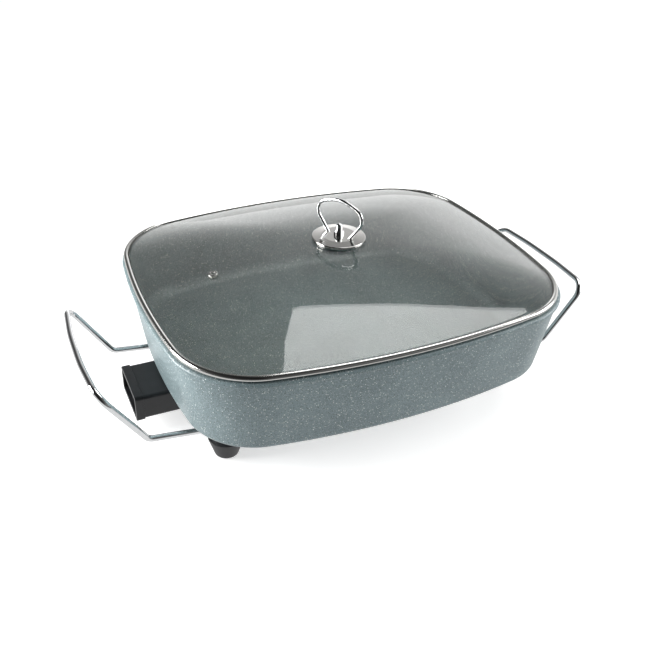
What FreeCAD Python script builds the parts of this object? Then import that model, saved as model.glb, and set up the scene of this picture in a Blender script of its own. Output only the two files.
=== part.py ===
import FreeCAD, Part
import math
import os

# Electric skillet with a loose domed glass lid.
# Millimetres. The origin is on the table, under the middle of the pan.
# X runs along the pan, with the heater socket at the minus X end. Z is up.

# Rim outline, taken at the outer edge of the lid's steel ring
lid_length = 400.0
lid_width = 331.0
side_bow_radius = 768.0
end_bow_radius = 728.0
corner_radius = 79.0

# Cast pan
pan_depth = 81.3
lip_overhang = 2.0
lip_thickness = 4.7
lip_rounding = 2.1
lip_underside_fillet = 6.0
wall_inset_top = 8.2
wall_draft = 1.6
wall_thickness = 3.2
floor_thickness = 5.0
base_outer_fillet = 10.0
base_inner_fillet = 13.0
boss_height = 15.5
boss_radius = 13.5
boss_taper = 1.5

# Feet and their screws
foot_height = 20.7
foot_top_radius = 17.5
foot_bottom_radius = 11.0
foot_edge_rounding = 2.5
foot_spigot_radius = 6.8
foot_spacing_x = 298.6
foot_spacing_y = 170.0
foot_recess_radius = 6.5
foot_recess_depth = 9.0
foot_screw_radius = 2.5
foot_screw_head_radius = 4.8
foot_screw_head_height = 3.2
foot_screw_engagement = 11.0

# Bent wire side handles
handle_wire_diameter = 6.0
handle_eye_turn = 285.0
handle_level_run = 16.0
handle_bend_reach = 218.6
handle_bend_rise = 6.0
handle_grip_reach = 257.8
handle_grip_height = 90.6
handle_flare = 2.8
handle_grip_bow = 4.5
handle_lower_bend_radius = 9.0
handle_corner_bend_radius = 13.0

# Heating element in the underside of the pan
element_radius = 4.2
element_bead_wall = 3.0
element_bead_depth = 2.4
element_drop = 5.0
element_loop_length = 232.0
element_loop_width = 204.0
element_loop_bend = 34.0
element_leg_bend = 15.0
element_leg_length = 25.3
element_lead_length = 6.0

# Socket for the heat control
shroud_mouth_reach = 219.3
shroud_back_inset = 41.7
shroud_width = 58.6
shroud_height = 28.0
shroud_wall = 2.6
shroud_back_wall = 3.4
shroud_rounding = 3.5
shroud_collar_length = 8.0
shroud_collar_step = 0.9
shroud_ear_width = 12.0
shroud_ear_length = 14.0
shroud_ear_thickness = 4.0
shroud_ear_drop = 8.0
shroud_screw_radius = 1.9
shroud_screw_head_radius = 3.6
shroud_screw_head_height = 2.4

# Terminal pins, their ceramic bushes and the tube for the probe
pin_radius = 2.6
pin_shank_radius = 2.3
pin_shoulder_gap = 1.5
pin_spacing = 35.0
pin_setback = 5.0
bush_radius = 5.6
bush_collar_radius = 7.2
bush_collar_length = 3.0
bush_back_length = 4.0
probe_bore_radius = 3.3
probe_tube_wall = 0.9
probe_tube_setback = 22.0
probe_boss_wall = 4.4
probe_boss_length = 44.0
probe_boss_end_wall = 5.0

# Glass lid and its rim ring
glass_thickness = 4.0
ring_sheet = 1.0
ring_cover = 6.0
ring_rounding = 2.4
dome_rise = 28.0
dome_pad_share = 0.17
dome_curve_power = 2.1

# Steam vent in the lid
vent_x = -131.0
vent_y = -5.0
vent_flange_radius = 4.6
vent_flange_thickness = 0.9
vent_barrel_radius = 3.0
vent_hole_radius = 1.9

# Lid handle on its dished disc
gasket_thickness = 1.0
gasket_radius = 21.0
plate_thickness = 2.0
plate_radius = 16.5
disc_radius = 26.5
disc_sheet = 0.8
disc_edge_height = 2.4
bail_wire_diameter = 3.6
bail_turn = -59.3
bail_foot_spread = 26.0
bail_shoulder_spread = 63.0
bail_shoulder_height = 26.3
bail_top_height = 38.0
bail_shoulder_bend = 8.0
bail_top_bend = 14.0
nut_width = 8.6
nut_hex_height = 4.6
nut_dome_radius = 3.5
nut_total_height = 12.0
lid_screw_radius = 2.5
lid_screw_head_radius = 5.0
lid_screw_head_height = 2.6
glass_hole_radius = 4.5
inner_washer_radius = 12.0
inner_washer_thickness = 1.4
inner_gasket_thickness = 1.0

# Clearances
lid_clearance = 0.3
shroud_clearance = 0.4
fit_clearance = 0.05
wire_clearance = 0.1

# Levels that follow from the sizes above
half_length = lid_length / 2
half_width = lid_width / 2
wire_radius = handle_wire_diameter / 2
eye_z = foot_height + wire_clearance + wire_radius
boss_bottom_z = foot_height + handle_wire_diameter + 2 * wire_clearance
base_z = boss_bottom_z + boss_height
floor_z = base_z + floor_thickness
lip_z = base_z + pan_depth
ring_half_height = glass_thickness / 2 + ring_sheet
ring_z = lip_z + lid_clearance + ring_half_height
glass_edge_top_z = ring_z + glass_thickness / 2
pad_z = glass_edge_top_z + dome_rise
plate_z = pad_z + gasket_thickness
disc_z = plate_z + plate_thickness
nut_z = disc_z + disc_sheet
disc_flat_radius = plate_radius + fit_clearance
shroud_top_z = base_z - shroud_clearance
socket_z = shroud_top_z - shroud_height / 2
shroud_back_x = -half_length + shroud_back_inset
shroud_length = shroud_back_x + shroud_mouth_reach
foot_x = foot_spacing_x / 2
foot_y = foot_spacing_y / 2
eye_radius = foot_spigot_radius + wire_clearance + wire_radius
arm_y = foot_y - eye_radius
element_z = base_z - element_drop
element_start_x = shroud_back_x + bush_back_length
element_climb_x = element_start_x + element_lead_length
element_top_x = element_climb_x + element_z - socket_z
wall_inset_base = wall_inset_top + wall_draft
probe_tube_start_x = -shroud_mouth_reach + probe_tube_setback
probe_tube_end_x = element_climb_x + probe_boss_length - probe_boss_end_wall

X_AXIS = FreeCAD.Vector(1, 0, 0)
Y_AXIS = FreeCAD.Vector(0, 1, 0)
Z_AXIS = FreeCAD.Vector(0, 0, 1)
ORIGIN = FreeCAD.Vector(0, 0, 0)


def vec(x, y, z):
    return FreeCAD.Vector(x, y, z)


def corner_arc(before, corner, after, radius):
    # Start, middle and end of the arc that rounds one corner
    back = (before - corner).normalize()
    ahead = (after - corner).normalize()
    half = back.getAngle(ahead) / 2
    reach = radius / math.tan(half)
    middle_line = (back + ahead).normalize()
    centre = corner + middle_line * (radius / math.sin(half))
    middle = centre - middle_line * radius
    return corner + back * reach, middle, corner + ahead * reach


def rounded_edges(points, radii, closed=False):
    # Straight runs joined by tangent arcs
    count = len(points)
    entries = []
    exits = []
    edges = []
    arcs = []
    for i in range(count):
        inner = closed or 0 < i < count - 1
        if inner and radii[i] > 0:
            first, middle, last = corner_arc(points[i - 1], points[i], points[(i + 1) % count], radii[i])
            entries.append(first)
            exits.append(last)
            arcs.append(Part.Arc(first, middle, last).toShape())
        else:
            entries.append(points[i])
            exits.append(points[i])
            arcs.append(None)
    runs = count if closed else count - 1
    for i in range(count):
        if arcs[i] is not None:
            edges.append(arcs[i])
        if i < runs:
            start = exits[i]
            end = entries[(i + 1) % count]
            if start.distanceToPoint(end) > 0.001:
                edges.append(Part.makeLine(start, end))
    return edges


def profile_face(corners):
    # Face in the XZ plane from corners given as x, z and rounding
    points = [vec(x, 0, z) for x, z, rounding in corners]
    radii = [rounding for x, z, rounding in corners]
    return Part.Face(Part.Wire(rounded_edges(points, radii, closed=True)))


def turned(corners, x=0.0, y=0.0):
    # Solid of revolution about an upright axis through x, y
    solid = profile_face(corners).revolve(ORIGIN, Z_AXIS, 360)
    solid.translate(vec(x, y, 0))
    return solid


def swept_pieces(edges, section_at):
    # Carries a section along straight runs and arcs, one exact piece for each
    pieces = []
    for edge in edges:
        start = edge.valueAt(edge.FirstParameter)
        heading = edge.tangentAt(edge.FirstParameter)
        face = section_at(start, heading)
        if isinstance(edge.Curve, Part.Circle):
            turn = math.degrees(edge.LastParameter - edge.FirstParameter)
            pieces.append(face.revolve(edge.Curve.Center, edge.Curve.Axis, turn))
        else:
            end = edge.valueAt(edge.LastParameter)
            pieces.append(face.extrude(end - start))
    return pieces


def joined(pieces):
    return pieces[0].multiFuse(pieces[1:]).removeSplitter().Solids[0]


def tube_pieces(edges, radius):
    def section_at(start, heading):
        return Part.Face(Part.Wire(Part.makeCircle(radius, start, heading)))
    return swept_pieces(edges, section_at)


def tube(edges, radius):
    # Round wire or rod that follows a path
    return joined(tube_pieces(edges, radius))


def outline_arcs():
    # Centre, radius, start and end angle of the eight arcs of the rim, anticlockwise
    side_centre = vec(0, half_width - side_bow_radius, 0)
    end_centre = vec(half_length - end_bow_radius, 0, 0)
    side_reach = side_bow_radius - corner_radius
    end_reach = end_bow_radius - corner_radius
    gap = end_centre - side_centre
    length = gap.Length
    along = (side_reach ** 2 - end_reach ** 2 + length ** 2) / (2 * length)
    across = math.sqrt(side_reach ** 2 - along ** 2)
    unit = vec(gap.x / length, gap.y / length, 0)
    normal = vec(-unit.y, unit.x, 0)
    first = side_centre + unit * along + normal * across
    second = side_centre + unit * along - normal * across
    centre = first if first.x + first.y > second.x + second.y else second
    low = math.degrees(math.atan2(centre.y - end_centre.y, centre.x - end_centre.x))
    high = math.degrees(math.atan2(centre.y - side_centre.y, centre.x - side_centre.x))
    x = centre.x
    y = centre.y
    return [
        (end_centre, end_bow_radius, -low, low),
        (centre, corner_radius, low, high),
        (side_centre, side_bow_radius, high, 180 - high),
        (vec(-x, y, 0), corner_radius, 180 - high, 180 - low),
        (end_centre * -1, end_bow_radius, 180 - low, 180 + low),
        (vec(-x, -y, 0), corner_radius, 180 + low, 180 + high),
        (side_centre * -1, side_bow_radius, 180 + high, 360 - high),
        (vec(x, -y, 0), corner_radius, 360 - high, 360 - low),
    ]


def outline_wire(inset, z, share=1.0):
    # The rim outline drawn in by an inset, and shrunk towards the middle by a share
    edges = []
    for centre, radius, start, end in outline_arcs():
        middle = vec(centre.x * share, centre.y * share, z)
        circle = Part.Circle(middle, Z_AXIS, (radius - inset) * share)
        edges.append(Part.ArcOfCircle(circle, math.radians(start), math.radians(end)).toShape())
    return Part.Wire(edges)


def outline_slab(inset, low, high):
    face = Part.Face(outline_wire(inset, low))
    return face.extrude(vec(0, 0, high - low))


def outline_band(corners):
    # Sweeps a section round the rim outline. Section x is minus the inset.
    face = profile_face(corners)
    pieces = []
    for centre, radius, start, end in outline_arcs():
        section = face.copy()
        section.translate(vec(radius, 0, 0))
        section.rotate(ORIGIN, Z_AXIS, start)
        section.translate(centre)
        pieces.append(section.revolve(centre, Z_AXIS, end - start))
    return pieces[0].multiFuse(pieces[1:])


def feet_places():
    return [(sx * foot_x, sy * foot_y) for sx in (-1, 1) for sy in (-1, 1)]


def element_plane_points():
    # The heater loop in plan, from one leg to the other, open towards the socket
    leg = pin_spacing / 2
    near = element_top_x + element_leg_length
    far = near + element_loop_length
    side = element_loop_width / 2
    return [(near, leg), (near, side), (far, side), (far, -side), (near, -side), (near, -leg)]


def element_path():
    # Legs come in from the socket, climb to the base and run round the loop
    leg = pin_spacing / 2
    start = element_start_x
    low = element_climb_x
    high = element_top_x
    points = [vec(start, leg, socket_z), vec(low, leg, socket_z), vec(high, leg, element_z)]
    points += [vec(x, y, element_z) for x, y in element_plane_points()]
    points += [vec(high, -leg, element_z), vec(low, -leg, socket_z), vec(start, -leg, socket_z)]
    small = 1.6 * element_radius
    loop = [element_leg_bend] + [element_loop_bend] * 4 + [element_leg_bend]
    radii = [0, small, small] + loop + [small, small, 0]
    return rounded_edges(points, radii)


def bead_path():
    # The part of the heater loop that lies in the base
    leg = pin_spacing / 2
    points = [vec(element_top_x + element_radius, leg, element_z)]
    points += [vec(x, y, element_z) for x, y in element_plane_points()]
    points += [vec(element_top_x + element_radius, -leg, element_z)]
    radii = [0, element_leg_bend] + [element_loop_bend] * 4 + [element_leg_bend, 0]
    return rounded_edges(points, radii)


def element_bead():
    # Cast ridge with an open round channel that the element is pressed into
    width = element_radius + element_bead_wall
    channel = element_radius + fit_clearance
    slot = math.sqrt(channel ** 2 - element_bead_depth ** 2)
    top = element_drop + floor_thickness / 2

    def section_at(start, heading):
        left = Z_AXIS.cross(heading)

        def at(across, up):
            return start + left * across + Z_AXIS * up
        corners = [at(slot, -element_bead_depth), at(width, -element_bead_depth), at(width, top)]
        corners += [at(-width, top), at(-width, -element_bead_depth), at(-slot, -element_bead_depth)]
        edges = rounded_edges(corners, [0, 1.0, 0, 0, 1.0, 0])
        edges.append(Part.Arc(corners[-1], at(0, channel), corners[0]).toShape())
        return Part.Face(Part.Wire(edges))
    return joined(swept_pieces(bead_path(), section_at))


def pan_shell():
    wall_x = -wall_inset_top
    base_x = -wall_inset_base
    inner_top_x = wall_x - wall_thickness
    inner_base_x = base_x - wall_thickness
    join_x = inner_base_x - base_inner_fillet - wall_thickness
    lip_under_z = lip_z - lip_thickness
    section = [
        (join_x, base_z, 0),
        (base_x, base_z, base_outer_fillet),
        (wall_x, lip_under_z, lip_underside_fillet),
        (lip_overhang, lip_under_z, lip_rounding),
        (lip_overhang, lip_z, lip_rounding),
        (inner_top_x, lip_z, lip_rounding / 2),
        (inner_base_x, floor_z, base_inner_fillet),
        (join_x, floor_z, 0),
    ]
    return outline_band(section).fuse(outline_slab(-join_x, base_z, floor_z)).removeSplitter()


def pan_boss(x, y):
    boss = Part.makeCone(boss_radius, boss_radius + boss_taper, boss_height + floor_thickness / 2)
    boss.translate(vec(x, y, boss_bottom_z))
    return boss


def shroud_screw_places():
    x = shroud_back_x - shroud_ear_length / 2
    y = shroud_width / 2 + shroud_ear_width / 2 - shroud_collar_step
    return [(x, -y), (x, y)]


def ear_top_z():
    return base_z - shroud_ear_drop


def probe_boss():
    # Cast rib under the floor that holds the probe tube
    radius = probe_bore_radius + probe_tube_wall + probe_boss_wall
    start = element_climb_x
    low = Part.makeCylinder(radius, probe_boss_length, vec(start, 0, socket_z), X_AXIS)
    high = base_z + floor_thickness / 2
    web = Part.makeBox(probe_boss_length, 2 * radius, high - socket_z, vec(start, -radius, socket_z))
    return low.fuse(web)


def pan_body():
    body = pan_shell()
    body = body.fuse([element_bead(), probe_boss()] + [pan_boss(x, y) for x, y in feet_places()])
    for x, y in shroud_screw_places():
        height = shroud_ear_drop + floor_thickness / 2
        pad_radius = shroud_ear_width / 2 - shroud_collar_step
        body = body.fuse(Part.makeCylinder(pad_radius, height, vec(x, y, ear_top_z())))
    cuts = []
    # Blind holes for the screws
    for x, y in feet_places():
        depth = foot_screw_engagement + 1.5
        cuts.append(Part.makeCylinder(foot_screw_radius + fit_clearance, depth, vec(x, y, boss_bottom_z)))
    for x, y in shroud_screw_places():
        depth = shroud_ear_drop + floor_thickness / 3
        cuts.append(Part.makeCylinder(shroud_screw_radius + fit_clearance, depth, vec(x, y, ear_top_z())))
    # Bore for the probe tube
    bore_radius = probe_bore_radius + probe_tube_wall + fit_clearance
    depth = probe_tube_end_x + fit_clearance - probe_tube_start_x
    bore = Part.makeCylinder(bore_radius, depth, vec(probe_tube_start_x, 0, socket_z), X_AXIS)
    cuts.append(bore)
    for cut in cuts:
        body = body.cut(cut)
    return body


def heating_element():
    return tube(element_path(), element_radius)


def terminal_pin(side):
    # Contact pin with a thinner shank through its bush
    end = element_start_x
    start = -shroud_mouth_reach + pin_setback
    shoulder = shroud_back_x - shroud_back_wall - bush_collar_length - pin_shoulder_gap
    tip = pin_radius * 0.5
    corners = [
        (0, start, 0),
        (pin_radius, start, tip),
        (pin_radius, shoulder, 0),
        (pin_shank_radius, shoulder, 0),
        (pin_shank_radius, end, 0),
        (0, end, 0),
    ]
    pin = profile_face(corners).revolve(ORIGIN, Z_AXIS, 360)
    pin.rotate(ORIGIN, Y_AXIS, 90)
    pin.translate(vec(0, side * pin_spacing / 2, socket_z))
    return pin


def terminal_bush(side):
    # Stepped ceramic bush that holds a pin in the back wall of the socket
    front = shroud_back_x - shroud_back_wall
    bore = pin_shank_radius + fit_clearance
    corners = [
        (bore, front - bush_collar_length, 0),
        (bush_collar_radius, front - bush_collar_length, 0.8),
        (bush_collar_radius, front, 0),
        (bush_radius, front, 0),
        (bush_radius, element_start_x, 0.8),
        (bore, element_start_x, 0),
    ]
    bush = profile_face(corners).revolve(ORIGIN, Z_AXIS, 360)
    bush.rotate(ORIGIN, Y_AXIS, 90)
    bush.translate(vec(0, side * pin_spacing / 2, socket_z))
    return bush


def probe_tube():
    # Closed tube that the heat control's probe slides into
    outer = probe_bore_radius + probe_tube_wall
    start = probe_tube_start_x
    end = probe_tube_end_x
    corners = [
        (probe_bore_radius, start, 0),
        (outer, start, 0.4),
        (outer, end, 0.8),
        (0, end, 0),
        (0, end - probe_tube_wall, 0),
        (probe_bore_radius, end - probe_tube_wall, 0),
    ]
    sleeve = profile_face(corners).revolve(ORIGIN, Z_AXIS, 360)
    sleeve.rotate(ORIGIN, Y_AXIS, 90)
    sleeve.translate(vec(0, 0, socket_z))
    return sleeve


def rounded_block(x, length, width, height, rounding):
    # Block along X with rounded long edges, centred on the socket's axis
    half_w = width / 2
    half_h = height / 2
    points = [vec(x, y, z) for y, z in (
        (-half_w, socket_z - half_h), (half_w, socket_z - half_h),
        (half_w, socket_z + half_h), (-half_w, socket_z + half_h))]
    face = Part.Face(Part.Wire(rounded_edges(points, [rounding] * 4, closed=True)))
    return face.extrude(vec(length, 0, 0))


def connector_shroud():
    # Moulded housing, open at its mouth, round the pins and the probe tube
    mouth = -shroud_mouth_reach
    body_width = shroud_width - 2 * shroud_collar_step
    body_height = shroud_height - 2 * shroud_collar_step
    body = rounded_block(mouth, shroud_length, body_width, body_height, shroud_rounding)
    collar = rounded_block(mouth, shroud_collar_length, shroud_width, shroud_height, shroud_rounding)
    body = body.fuse(collar)
    for x, y in shroud_screw_places():
        sign = 1 if y > 0 else -1
        inner = body_width / 2 - shroud_wall
        outer = abs(y) + shroud_ear_width / 2
        low = ear_top_z() - shroud_ear_thickness
        corner = vec(x - shroud_ear_length / 2, min(sign * inner, sign * outer), low)
        ear = Part.makeBox(shroud_ear_length, outer - inner, shroud_ear_thickness, corner)
        tips = [e for e in ear.Edges if e.Length < shroud_ear_thickness + 0.01
                and abs(abs(e.CenterOfMass.y) - outer) < 0.01]
        body = body.fuse(ear.makeFillet(shroud_ear_width / 3, tips))
    cavity_length = shroud_length - shroud_back_wall
    inner_width = body_width - 2 * shroud_wall
    inner_height = body_height - 2 * shroud_wall
    cavity = rounded_block(mouth, cavity_length, inner_width, inner_height, shroud_rounding / 2)
    cuts = [cavity]
    back = shroud_back_x - shroud_back_wall - 1
    through = shroud_back_wall + 2
    for y in (-pin_spacing / 2, pin_spacing / 2):
        cuts.append(Part.makeCylinder(bush_radius + fit_clearance, through, vec(back, y, socket_z), X_AXIS))
    sleeve_hole = probe_bore_radius + probe_tube_wall + fit_clearance
    cuts.append(Part.makeCylinder(sleeve_hole, through, vec(back, 0, socket_z), X_AXIS))
    for x, y in shroud_screw_places():
        low = ear_top_z() - shroud_ear_thickness - 1
        cuts.append(Part.makeCylinder(shroud_screw_radius + fit_clearance, shroud_ear_thickness + 2, vec(x, y, low)))
    return body.cut(cuts).removeSplitter()


def screw_up(x, y, head_z, length, radius, head_radius, head_height):
    # Screw that points up, with its head below head_z and a crossed driver recess
    shank = Part.makeCylinder(radius, length, vec(x, y, head_z))
    head = turned([
        (0, head_z - head_height, 0),
        (head_radius, head_z - head_height, head_height * 0.45),
        (head_radius, head_z, 0),
        (0, head_z, 0),
    ], x, y)
    screw = head.fuse(shank)
    arm = head_radius * 1.1
    blade = head_radius * 0.22
    deep = head_height * 0.45
    low = head_z - head_height - 0.01
    for wide, tall in ((arm, blade), (blade, arm)):
        corner = vec(x - wide / 2, y - tall / 2, low)
        screw = screw.cut(Part.makeBox(wide, tall, deep, corner))
    return screw


def shroud_screw(x, y):
    length = shroud_ear_thickness + shroud_ear_drop
    return screw_up(x, y, ear_top_z() - shroud_ear_thickness, length, shroud_screw_radius,
                    shroud_screw_head_radius, shroud_screw_head_height)


def foot(x, y):
    # Tapered moulded foot, with a spigot through the eye of the handle wire
    hole = foot_screw_radius + 2 * wire_clearance
    return turned([
        (foot_recess_radius, 0, 0.4),
        (foot_bottom_radius, 0, foot_edge_rounding),
        (foot_top_radius, foot_height, 1.0),
        (foot_spigot_radius, foot_height, 0),
        (foot_spigot_radius, boss_bottom_z, 0),
        (hole, boss_bottom_z, 0),
        (hole, foot_recess_depth, 0),
        (foot_recess_radius, foot_recess_depth, 0),
    ], x, y)


def foot_screw(x, y):
    length = boss_bottom_z - foot_recess_depth + foot_screw_engagement
    return screw_up(x, y, foot_recess_depth, length, foot_screw_radius,
                    foot_screw_head_radius, foot_screw_head_height)


def eye_edge(sign):
    # Open eye of the wire round a foot's spigot. The path runs into the arm at its inner side.
    centre = vec(-foot_x, -foot_y, eye_z)
    start = centre + vec(eye_radius * math.cos(math.radians(90 - handle_eye_turn)),
                         eye_radius * math.sin(math.radians(90 - handle_eye_turn)), 0)
    half = math.radians(90 - handle_eye_turn / 2)
    middle = centre + vec(eye_radius * math.cos(half), eye_radius * math.sin(half), 0)
    end = centre + vec(0, eye_radius, 0)
    if sign > 0:
        flip = [vec(p.x, -p.y, p.z) for p in (end, middle, start)]
        return Part.Arc(*flip).toShape()
    return Part.Arc(start, middle, end).toShape()


def side_handle():
    # One side of the wire, from an eye under the pan up to the grip, then the same way back
    level_x = -foot_x - handle_level_run
    bend_z = eye_z + handle_bend_rise
    grip_y = arm_y + handle_flare
    bow_y = arm_y / 3
    bow_x = -handle_grip_reach - handle_grip_bow
    side = [
        vec(-foot_x, -arm_y, eye_z),
        vec(level_x, -arm_y, eye_z),
        vec(-handle_bend_reach, -arm_y, bend_z),
        vec(-handle_grip_reach, -grip_y, handle_grip_height),
        vec(bow_x, -bow_y, handle_grip_height),
    ]
    radii = [0, 40.0, handle_lower_bend_radius, handle_corner_bend_radius, 300.0]
    back = [vec(p.x, -p.y, p.z) for p in reversed(side)]
    edges = [eye_edge(-1)] + rounded_edges(side + back, radii + radii[::-1]) + [eye_edge(1)]
    return tube(edges, wire_radius)


def dome_shares():
    return [1.0, 0.92, 0.82, 0.68, 0.52, 0.35, dome_pad_share]


def dome_height(share):
    top = 1 - dome_pad_share ** dome_curve_power
    return dome_rise * (1 - share ** dome_curve_power) / top


def dome_solid(foot_level):
    wires = []
    for share in dome_shares():
        wires.append(outline_wire(ring_cover, foot_level + dome_height(share), share))
    return Part.makeLoft(wires, True, False)


def vent_seat():
    # Point and direction of the lid's upper surface at the vent
    def level(x, y):
        rod = Part.makeLine(vec(x, y, ring_z), vec(x, y, pad_z + 20))
        return rod.common(dome_solid_outer).BoundBox.ZMax
    step = 1.0
    here = level(vent_x, vent_y)
    slope_x = (level(vent_x + step, vent_y) - level(vent_x - step, vent_y)) / (2 * step)
    slope_y = (level(vent_x, vent_y + step) - level(vent_x, vent_y - step)) / (2 * step)
    return vec(vent_x, vent_y, here), vec(-slope_x, -slope_y, 1).normalize()


def on_vent(solid):
    # Moves a piece drawn about the Z axis onto the vent's seat
    point, normal = vent_seat()
    placed = solid.copy()
    placed.Placement = FreeCAD.Placement(point, FreeCAD.Rotation(Z_AXIS, normal))
    return placed


def lid_glass():
    edge = outline_slab(ring_sheet, ring_z - glass_thickness / 2, glass_edge_top_z)
    glass = edge.fuse(dome_solid_outer)
    hollow = dome_solid(glass_edge_top_z - glass_thickness)
    centre_hole = Part.makeCylinder(glass_hole_radius, 3 * glass_thickness,
                                    vec(0, 0, pad_z - 2 * glass_thickness))
    vent_hole = on_vent(Part.makeCylinder(vent_barrel_radius + fit_clearance, 4 * glass_thickness,
                                          vec(0, 0, -2.5 * glass_thickness)))
    return glass.cut([hollow, centre_hole, vent_hole]).removeSplitter()


def lid_rim_ring():
    # Steel band rolled over the edge of the glass
    inner = glass_thickness / 2
    outer = ring_half_height
    lip = ring_sheet * 0.45
    return outline_band([
        (-ring_cover, ring_z - inner, 0),
        (-ring_cover, ring_z - outer, lip),
        (0, ring_z - outer, ring_rounding),
        (0, ring_z + outer, ring_rounding),
        (-ring_cover, ring_z + outer, lip),
        (-ring_cover, ring_z + inner, 0),
        (-ring_sheet, ring_z + inner, 0),
        (-ring_sheet, ring_z - inner, 0),
    ]).removeSplitter()


def vent_eyelet():
    # Rolled metal eyelet, with a flange on each face of the glass
    flange = vent_flange_thickness
    point, normal = vent_seat()
    through = glass_thickness * normal.z + fit_clearance
    eyelet = turned([
        (vent_hole_radius, flange, 0.4),
        (vent_flange_radius, flange, 0.4),
        (vent_flange_radius, 0, 0),
        (vent_barrel_radius, 0, 0),
        (vent_barrel_radius, -through, 0),
        (vent_flange_radius, -through, 0),
        (vent_flange_radius, -through - flange, 0.4),
        (vent_hole_radius, -through - flange, 0.4),
    ])
    return on_vent(eyelet)


def washer(z, thickness, radius, hole):
    edge = thickness / 4
    return turned([
        (hole, z, 0), (radius, z, edge), (radius, z + thickness, edge), (hole, z + thickness, 0)])


def bail_direction():
    turn = math.radians(bail_turn)
    return vec(math.cos(turn), math.sin(turn), 0)


def bail_edges():
    # The loop in its upright plane, from one staked end in the plate to the other
    along = bail_direction()
    foot_half = bail_foot_spread / 2
    shoulder = bail_shoulder_spread / 2
    level = nut_z
    slope = (shoulder - foot_half) / bail_shoulder_height
    drop = nut_z - plate_z - fit_clearance
    sides = [
        (-foot_half + slope * drop, -drop, 0),
        (-shoulder, bail_shoulder_height, bail_shoulder_bend),
        (0, bail_top_height, bail_top_bend),
        (shoulder, bail_shoulder_height, bail_shoulder_bend),
        (foot_half - slope * drop, -drop, 0),
    ]
    points = [along * reach + vec(0, 0, level + up) for reach, up, bend in sides]
    return rounded_edges(points, [bend for reach, up, bend in sides])


def bail_holes():
    # Rods along the ends of the bail, for the holes in the disc and the plate
    along = bail_direction()
    foot_half = bail_foot_spread / 2
    slope = (bail_shoulder_spread / 2 - foot_half) / bail_shoulder_height
    rods = []
    for sign in (-1, 1):
        low = along * (sign * (foot_half - slope * 8)) + vec(0, 0, nut_z - 8)
        high = along * (sign * (foot_half + slope * 8)) + vec(0, 0, nut_z + 8)
        axis = high - low
        rods.append(Part.makeCylinder(bail_wire_diameter / 2 + fit_clearance, axis.Length, low, axis))
    return rods


def handle_bail():
    loop = tube(bail_edges(), bail_wire_diameter / 2)
    # The ends are cut flush with the underside of the plate
    size = bail_shoulder_spread * 2
    above = Part.makeBox(size, size, size, vec(-size / 2, -size / 2, plate_z))
    return loop.common(above)


def handle_plate():
    plate = washer(plate_z, plate_thickness, plate_radius, lid_screw_radius + fit_clearance)
    return plate.cut(bail_holes())


def handle_disc():
    # Dished steel cover with a turned down edge
    edge_z = pad_z + disc_edge_height
    sheet = disc_sheet
    disc = turned([
        (lid_screw_radius + fit_clearance, disc_z, 0),
        (disc_flat_radius, disc_z, 3.0),
        (disc_radius - sheet, edge_z - sheet, 0.3),
        (disc_radius - sheet, pad_z + 0.3, 0),
        (disc_radius, pad_z + 0.3, 0),
        (disc_radius, edge_z, 0.9),
        (disc_flat_radius, disc_z + sheet, 3.0 + sheet),
        (lid_screw_radius + fit_clearance, disc_z + sheet, 0),
    ])
    return disc.cut(bail_holes())


def cap_nut():
    # Hexagon nut with a domed cap
    points = []
    for i in range(6):
        angle = math.radians(60 * i + 30)
        reach = nut_width / 2 / math.cos(math.radians(30))
        points.append(vec(reach * math.cos(angle), reach * math.sin(angle), nut_z))
    hexagon = Part.Face(Part.Wire(rounded_edges(points, [0] * 6, closed=True)))
    body = hexagon.extrude(vec(0, 0, nut_hex_height))
    chamfer = turned([
        (0, nut_z, 0), (nut_width * 0.6, nut_z, 0),
        (nut_width * 0.6, nut_z + nut_hex_height - 1, 0),
        (nut_dome_radius, nut_z + nut_hex_height, 0), (0, nut_z + nut_hex_height, 0)])
    body = body.common(chamfer)
    top = nut_z + nut_total_height
    dome = turned([
        (0, nut_z + nut_hex_height / 2, 0), (nut_dome_radius, nut_z + nut_hex_height / 2, 0),
        (nut_dome_radius, top, nut_dome_radius * 0.95), (0, top, 0)])
    depth = nut_total_height - nut_dome_radius
    thread = Part.makeCylinder(lid_screw_radius + fit_clearance, depth, vec(0, 0, nut_z))
    return body.fuse(dome).cut(thread)


def lid_screw():
    low = pad_z - glass_thickness - inner_gasket_thickness - inner_washer_thickness
    length = nut_z + nut_total_height - nut_dome_radius - 1 - low
    return screw_up(0, 0, low, length, lid_screw_radius, lid_screw_head_radius, lid_screw_head_height)


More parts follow.
